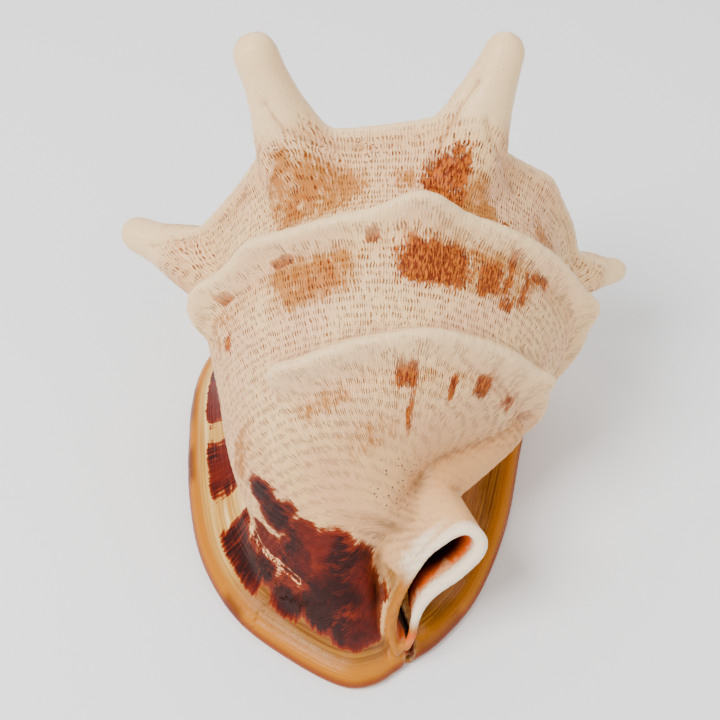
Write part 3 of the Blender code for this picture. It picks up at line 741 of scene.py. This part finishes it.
bars = (                            # degrees round the plate from and to, inner edges in millimetres
    (136, 157, 4.5, 26), (165, 192, 4.5, 26), (207, 235, 5.0, 28), (96, 108, 6.5, 24), (58, 70, 6.5, 22),
)
rim_stains = ((144, 156, 0.7), (166, 180, 0.85), (226, 234, 0.7), (284, 300, 0.5), (60, 68, 0.5))
blotch = (                          # middle and radius of the parts of the big blotch
    ((-35, 46, 52), 6), ((-31, 40, 46), 8), ((-21, 32, 43), 8), ((-36, 36, 20), 7), ((-24, 29, 34), 10),
    ((-12, 26, 44), 8), ((-5, 23, 40), 8), ((-13, 17, 32), 11), ((-2, 16, 31), 9), ((-17, 15, 24), 10),
    ((-29, 24, 17), 8), ((-43, 42, 13), 7), ((-6, 8, 20), 9), ((0, 9, 21), 7), ((1, 20, 33), 5),
    ((-27, 37, 53), 3), ((-38, 44, 28), 6), ((-33, 38, 28), 6), ((-40, 47, 22), 4),
)
pinholes = (                        # where specks of old dirt gather, and how wide
    ((-24, 131, 134), 9), ((4, 137, 129), 9), ((6, 108, 125), 5), ((12, 41, 63), 14), ((20, 46, 62), 8),
    ((45, 134, 133), 4), ((58, 66, 10), 5),
)
mouth_heights = (7, 15, 22, 26.5, 30, 36, 45)           # of the canal's middle line
mouth_sides = (12, 11, 11, 13, 16, 22, 30)              # its x at those heights
horn_ivory_from = 84                # distance from the axis beyond which the horns are worn
bar_strength, bar_fade, rim_fade = 0.85, 3, 4           # the fades are in degrees
blotch_spread, blotch_fade = 5.0, 9.0
plate_size = 60                     # turns an angle round the plate into millimetres
centre = np.array((8.15, 89.75, 0.0))                   # goes to the frame's origin


def shown_on(places, name, values, kind="FLOAT", part="value"):
    """Keeps a value for each vertex, for the material to read."""
    kept = places.attributes.new(name, kind, "POINT").data
    kept.foreach_set(part, values.astype(np.float32).ravel())


def within(angles, start, end, over):
    """One between two angles round the plate, nought elsewhere."""
    return smooth((angles - start) / over + 0.5) * smooth((end - angles) / over + 0.5)


mesh = shell.data
points = points_of(mesh)
normals = normals_of(mesh)
turn, depth, radius = on_growth(points)
degrees = np.degrees(turn)
size = np.exp(growth * turn)
to_horned, to_plate, to_bore, to_hollow, to_lip, to_canal = [closeness(skin, points) for skin in skins]
to_ear = closeness(ear_skin, points)
angle, inward, _, (_, _, hood) = plate_place(points)
round_plate = np.degrees(angle) % 360
below = short_of(points[:, 2], 3.4, 1.5) * smooth(-normals[:, 2] * 2)
inside = short_of(np.minimum(to_bore, to_hollow), 2.4, 1.0) * past(to_lip, 0.5, 1.5)
in_slit = short_of(closeness(slit_skin, points), 1.6, 0.8) * past(points[:, 2], 2.0, 2)
inside = np.maximum(inside, in_slit * (points[:, 2] < 19) * past(points[:, 1], 4, 3))
mouth_face = short_of(to_canal, 1.2, 0.8) * past(normals @ mouth_way, 0.5, 0.3)
mouth_face *= short_of(to_lip, 5.5, 2) * (1 - inside) * past(to_bore, 1.0, 1.0)
mouth_face *= short_of(np.abs((points - canal_inside_middle) @ mouth_way), 4.0, 1.5)
on_plate = smooth((to_horned - to_plate) / 1.2 + 0.5) * (1 - inside) * (1 - mouth_face)
on_plate *= 1 - past(points[:, 2], 15, 6) * smooth(hood / 20)
near_canal = short_of(np.minimum(to_lip, to_canal), 6.0, 4.0)
middle_of_mouth = np.interp(points[:, 2], mouth_heights, mouth_sides)
tan_wall = smooth((middle_of_mouth - points[:, 0]) / 2 + 0.5) * short_of(points[:, 2], 42, 8)
tan_wall = np.maximum(tan_wall, short_of(points[:, 2], 25, 6))
body = (1 - on_plate) * (1 - inside) * (1 - below)

marks = {}
for kind, spots in stains.items():
    marks[kind] = np.zeros(len(points))
    for at, deep, half_turn, half_depth, strength in spots:
        away = ((degrees - at) / half_turn) ** 4 + ((depth - deep) / half_depth) ** 4
        marks[kind] = np.maximum(marks[kind], strength * np.exp(-0.7 * away))
    marks[kind] *= body
dark = np.zeros(len(points))
for start, end, outer, inner in bars:
    between = past(inward, outer, 2) * short_of(inward, inner, 6)
    dark = np.maximum(dark, bar_strength * within(round_plate, start, end, bar_fade) * between)
dark *= on_plate
for middle, wide in blotch:
    away = np.linalg.norm(points - np.array(middle), axis=1)
    dark = np.maximum(dark, short_of(away, wide + blotch_spread, blotch_fade))
dark *= past(inward, 8.0, 2.5) * (1 - inside) * past(to_lip, 1.0, 2.0)
crest = bump((away_from(points, ledge) - 1.3) / 0.5) * past(points[:, 2], 17, 3)
dark *= 1.15 * (1 - 0.7 * crest)
rim_stain = np.zeros(len(points))
for start, end, strength in rim_stains:
    stained = strength * within(round_plate, start, end, rim_fade)
    rim_stain = np.maximum(rim_stain, stained * short_of(inward, 5.0, 3.0))
specks = np.zeros(len(points))
for middle, wide in pinholes:
    specks = np.maximum(specks, bump(np.linalg.norm(points - np.array(middle), axis=1) / wide))
# The band just under each row is darkened as a painted shadow of the row.
rows, shadow_below_rows = np.zeros(len(points)), np.zeros(len(points))
for row, _, half_width, start, end in cords[:3]:
    there = along_row(degrees, start, end)
    rows = np.maximum(rows, there * bump((depth - row[1]) / (0.8 * half_width)))
    shadow_below_rows = np.maximum(shadow_below_rows, there * bump((depth - row[1] - 7.0) / 3.0))
ivory = np.maximum(rows, past(radius, horn_ivory_from, 9)) * body
_, from_edge, toothed, tooth = beside_slit(points)
from_edge = np.maximum(from_edge, 0)
by_slit = bump(from_edge / 9.0) * below
teeth = toothed * bump(from_edge / 6.0) * past(tooth, 0.35, 0.4) * short_of(points[:, 2], 6, 3)
shield = smooth((math.cos(math.radians(50)) + np.cos(angle + 0.25)) / 0.3) * on_plate
lip = np.maximum(short_of(to_lip, 1.1, 0.8) * (1 - inside), mouth_face)
calm = np.maximum(near_canal, past(depth, 130, 14)) * body
ear_stain = short_of(to_ear, 2.0, 2) * (points[:, 0] > 24) * (1 - inside)
# A warmer, darker tint towards the neck and on the left side, and the painted shadow below the rows.
warm_and_row_shadow = body * np.maximum.reduce([
    past(depth, 122, 15), past(degrees, 60, 14) * 0.8, shadow_below_rows])

growth_place = np.stack([lip_size * (size - 1) / growth, depth * size, radius * size], axis=1)
shown_on(mesh, "growth", growth_place, "FLOAT_VECTOR", "vector")
rim_place = np.stack([inward, plate_size * np.cos(angle), plate_size * np.sin(angle)], axis=1)
shown_on(mesh, "rim_lines", rim_place, "FLOAT_VECTOR", "vector")
for name, values in (
        ("gold", marks["gold"]), ("rust", marks["rust"]), ("dark", dark), ("rim_stain", rim_stain),
        ("specks", specks), ("ivory", ivory), ("plate", on_plate), ("inward", inward), ("below", below),
        ("inside", inside), ("by_slit", by_slit), ("teeth", teeth), ("hollows", hollowness(mesh, 6)),
        ("lip", lip), ("from_lip", to_lip), ("tan_wall", tan_wall), ("calm", calm), ("shield", shield),
        ("ear", ear_stain), ("warm_and_row_shadow", warm_and_row_shadow)):
    shown_on(mesh, name, values)

set_points(mesh, (points - centre) / 1000)
mesh.shade_smooth()
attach(shell, "root")
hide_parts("shell")

lime = bpy.data.materials.new("shell_lime")
lime.use_nodes = True
nodes, links = lime.node_tree.nodes, lime.node_tree.links
nodes.clear()


def node(kind, inputs, **settings):
    """A node of the shell's material, with its settings and its values or links."""
    made = nodes.new("ShaderNode" + kind)
    for key, value in settings.items():
        setattr(made, key, value)
    for socket, value in inputs.items():
        if isinstance(value, bpy.types.NodeSocket):
            links.new(value, made.inputs[socket])
        else:
            made.inputs[socket].default_value = value
    return made


def paint(red, green, blue):
    """A colour as it is seen, in parts of 255, for a socket."""
    seen = np.array((red, green, blue)) / 255
    linear = np.where(seen > 0.04045, ((seen + 0.055) / 1.055) ** 2.4, seen / 12.92)
    return (*[float(part) for part in linear], 1.0)


def value_at(name):
    return node("Attribute", {}, attribute_name=name).outputs["Fac"]


def reckon(operation, first, second=0.0):
    return node("Math", {0: first, 1: second}, operation=operation).outputs[0]


def times(first, second):
    return reckon("MULTIPLY", first, second)


def plus(first, second):
    return reckon("ADD", first, second)


def minus(first, second):
    return reckon("SUBTRACT", first, second)


def greater(first, second):
    return reckon("MAXIMUM", first, second)


def blend(amount, first, second):
    return node("Mix", {0: amount, 6: first, 7: second}, data_type="RGBA").outputs[2]


def step_up(value, low, high):
    return node("MapRange", {"Value": value, "From Min": low, "From Max": high},
                interpolation_type="SMOOTHSTEP").outputs[0]


def waves(along_it, pitch, sway):
    """Even lines from nought to one, a pitch apart, that sway by some millimetres."""
    swayed = plus(along_it, times(wander, sway))
    turned_round = reckon("SINE", times(swayed, 2 * math.pi / pitch))
    return node("MapRange", {"Value": turned_round, "From Min": -1.0}).outputs[0]


def grain(place, sizes, detail=2.0):
    """Noise whose grains have these sizes along the three directions of a place."""
    scaled = node("Mapping", {"Vector": place, "Scale": [1 / part for part in sizes]}).outputs[0]
    return node("TexNoise", {"Vector": scaled, "Scale": 1.0, "Detail": detail}).outputs["Fac"]


grown = node("Attribute", {}, attribute_name="growth").outputs["Vector"]
rim_lines = node("Attribute", {}, attribute_name="rim_lines").outputs["Vector"]
place = node("TexCoord", {}).outputs["Object"]
dashes = grain(grown, (0.62, 2.3, 2.3))
patches = grain(grown, (5.0, 7.0, 7.0), 4.0)
wander = grain(grown, (4.0, 5.0, 5.0))
uneven = grain(grown, (1.6, 3.0, 3.0))
clouds = grain(place, (0.022, 0.022, 0.022), 3.0)
dots = node("TexVoronoi", {"Vector": place, "Scale": 620.0}).outputs["Distance"]
bands = grain(rim_lines, (0.7, 50.0, 50.0), 3.0)
teeth_out = grain(rim_lines, (7.0, 1.1, 1.1), 3.0)
wide_bands = grain(rim_lines, (3.5, 70.0, 70.0))
plate, below_here, inside_here = value_at("plate"), value_at("below"), value_at("inside")
ivory_here, inward_here = value_at("ivory"), value_at("inward")

growth_axes = node("SeparateXYZ", {"Vector": grown}).outputs
lines = waves(growth_axes["X"], 1.05, 2.6)
threads = waves(growth_axes["Y"], 2.5, 1.6)
rough_part = times(minus(1.0, plate), minus(1.0, inside_here))
woven = times(step_up(lines, 0.62, 0.12), plus(0.35, step_up(threads, 0.75, 0.2)))
woven = times(woven, step_up(uneven, 0.36, 0.66))
woven = times(woven, minus(1.0, times(value_at("calm"), 0.85)))
worn = minus(1.0, times(ivory_here, 0.8))
weave = times(times(woven, rough_part), worn)
colour = blend(step_up(clouds, 0.35, 0.65), paint(230, 174, 128), paint(238, 192, 132))
# Warmer, darker tint low and to the left, with the painted shadow below the rows.
colour = blend(times(value_at("warm_and_row_shadow"), 0.4), colour, paint(208, 150, 88))
shown_lines = times(step_up(lines, 0.6, 0.95), minus(1.0, value_at("calm")))
colour = blend(times(shown_lines, 0.45), colour, paint(250, 216, 168))
colour = blend(times(weave, 0.8), colour, paint(168, 98, 46))
ragged = plus(times(minus(dashes, 0.5), 0.8), times(minus(patches, 0.5), 0.9))
ragged = plus(ragged, times(minus(woven, 0.3), 0.35))
gold_here = step_up(plus(value_at("gold"), ragged), 0.34, 0.78)
colour = blend(times(gold_here, 0.9), colour, paint(172, 102, 22))
rust_here = step_up(plus(value_at("rust"), ragged), 0.40, 0.66)
rust_colour = blend(step_up(dashes, 0.42, 0.62), paint(112, 38, 2), paint(184, 96, 20))
colour = blend(rust_here, colour, rust_colour)

plate_colour = blend(step_up(bands, 0.35, 0.65), paint(178, 124, 46), paint(208, 160, 78))
plate_colour = blend(step_up(wide_bands, 0.5, 0.7), plate_colour, paint(226, 190, 122))
shield_colour = blend(step_up(bands, 0.3, 0.7), paint(112, 62, 12), paint(164, 108, 38))
shield_colour = blend(times(step_up(clouds, 0.5, 0.7), 0.5), shield_colour, paint(184, 124, 78))
plate_colour = blend(value_at("shield"), plate_colour, shield_colour)
plate_colour = blend(step_up(inward_here, 8.0, 4.0), plate_colour, paint(180, 108, 12))
plate_colour = blend(step_up(inward_here, 2.4, 0.6), plate_colour, paint(132, 56, 4))
plate_colour = blend(value_at("rim_stain"), plate_colour, paint(88, 22, 4))
colour = blend(plate, colour, plate_colour)

ragged_rim = times(minus(teeth_out, 0.5), 1.3)
ragged = node("Mix", {0: plate, 2: ragged, 3: ragged_rim}).outputs[0]
fringe = plus(value_at("dark"), ragged)
colour = blend(step_up(fringe, 0.34, 0.52), colour, paint(146, 62, 8))
colour = blend(step_up(fringe, 0.46, 0.66), colour, paint(108, 26, 3))
deep_dark = blend(step_up(clouds, 0.42, 0.58), paint(38, 4, 2), paint(88, 14, 2))
colour = blend(step_up(fringe, 0.66, 1.05), colour, deep_dark)
colour = blend(times(ivory_here, 0.85), colour, paint(244, 208, 156))

ear_colour = blend(step_up(value_at("hollows"), 0.0, 0.4), paint(216, 152, 88), paint(150, 76, 20))
colour = blend(times(value_at("ear"), 0.6), colour, ear_colour)
lip_colour = blend(value_at("tan_wall"), paint(248, 224, 190), paint(176, 108, 34))
colour = blend(value_at("lip"), colour, lip_colour)

under_colour = blend(step_up(clouds, 0.35, 0.65), paint(232, 184, 124), paint(216, 150, 84))
under_colour = blend(times(step_up(wide_bands, 0.5, 0.7), 0.3), under_colour, paint(200, 130, 56))
under_colour = blend(value_at("by_slit"), under_colour, paint(150, 58, 10))
under_colour = blend(value_at("teeth"), under_colour, paint(244, 214, 172))
under_colour = blend(step_up(inward_here, 5.0, 1.0), under_colour, paint(176, 104, 26))
colour = blend(below_here, colour, under_colour)
# Inside the mouth: orange-red at the lip, darkening to near black further in as painted shade.
deeper_in = step_up(value_at("from_lip"), 1.2, 8.0)
inside_colour_and_shade = blend(deeper_in, paint(206, 84, 8), paint(40, 2, 1))
colour = blend(inside_here, colour, inside_colour_and_shade)

# Painted shade: the hollows of the rough surface are darkened towards brown.
hollow_shade = times(step_up(value_at("hollows"), 0.12, 0.5), 0.35)
hollow_shade = times(hollow_shade, rough_part)
colour = blend(hollow_shade, colour, paint(120, 70, 30))
speck = times(step_up(dots, 0.22, 0.12), step_up(plus(value_at("specks"), patches), 0.95, 1.3))
colour = blend(speck, colour, paint(50, 28, 14))

glazed = greater(greater(below_here, inside_here), greater(plate, ivory_here))
roughness = node("MapRange", {"Value": glazed, "To Min": 0.55, "To Max": 0.3}).outputs[0]
height = plus(times(dashes, 0.12), times(uneven, 0.25))
height = minus(height, times(woven, 0.75))
height = minus(height, speck)
shown_height = node("MapRange", {"Value": glazed, "To Min": 1.0, "To Max": 0.12}).outputs[0]
height = times(height, shown_height)
height = plus(height, times(times(bands, plate), 0.35))
relief_bump = node("Bump", {"Height": height, "Strength": 1.0, "Distance": 0.0007})
surface = node("BsdfPrincipled", {
    "Base Color": colour, "Roughness": roughness, "Normal": relief_bump.outputs["Normal"],
    "IOR": 1.5, "Specular IOR Level": 0.18,
})
node("OutputMaterial", {"Surface": surface.outputs["BSDF"]})
shell.data.materials.clear()
shell.data.materials.append(lime)

# Camera, floor and light.
# The photo looks down at the front of the shell at about 48 degrees, tilted a little.
camera_height = math.radians(47.977)
camera_distance = 0.43668
camera_target = Vector((-0.00837, 0.01663, 0.0518))
camera_roll = math.radians(-1.77)
back = Vector((0, -math.cos(camera_height), math.sin(camera_height)))
across = (-back).cross(Vector((0, 0, 1))).normalized()
upright = across.cross(-back)
view = Matrix((
    math.cos(camera_roll) * across + math.sin(camera_roll) * upright,
    -math.sin(camera_roll) * across + math.cos(camera_roll) * upright,
    back,
)).transposed().to_4x4()
view.translation = camera_target + back * camera_distance
camera = bpy.data.objects.new("camera", bpy.data.cameras.new("camera"))
camera.data.sensor_width = 36.0
camera.data.lens = 56.86
camera.data.clip_start = 0.01
camera.matrix_world = view
bpy.context.scene.collection.objects.link(camera)
bpy.context.scene.camera = camera

floor_half, floor_drop = 3.0, 0.0003            # just below the shell, so that no faces coincide
floor = bmesh.new()
bmesh.ops.create_grid(floor, x_segments=1, y_segments=1, size=floor_half)
bmesh.ops.translate(floor, vec=(0, 0, -floor_drop), verts=floor.verts)
floor = as_piece("floor", floor)
pale = bpy.data.materials.new("pale_floor")
pale.use_nodes = True
pale.node_tree.nodes["Principled BSDF"].inputs["Base Color"].default_value = (0.9, 0.9, 0.9, 1)
pale.node_tree.nodes["Principled BSDF"].inputs["Roughness"].default_value = 0.8
floor.data.materials.append(pale)

for name, place, size_of_light, power in (
        ("key", (-0.7, -0.4, 1.1), 0.6, 27.0), ("fill", (0.9, -0.7, 0.9), 1.2, 8.0),
        ("back", (0.1, 1.1, 1.0), 1.0, 8.0)):
    light = bpy.data.objects.new(name, bpy.data.lights.new(name, "AREA"))
    light.data.energy = power
    light.data.size = size_of_light
    light.location = place
    light.rotation_euler = (-Vector(place)).to_track_quat("-Z", "Y").to_euler()
    bpy.context.scene.collection.objects.link(light)
world = bpy.data.worlds.new("studio")
world.use_nodes = True
world.node_tree.nodes["Background"].inputs["Color"].default_value = (1, 1, 1, 1)
world.node_tree.nodes["Background"].inputs["Strength"].default_value = 0.7
bpy.context.scene.world = world
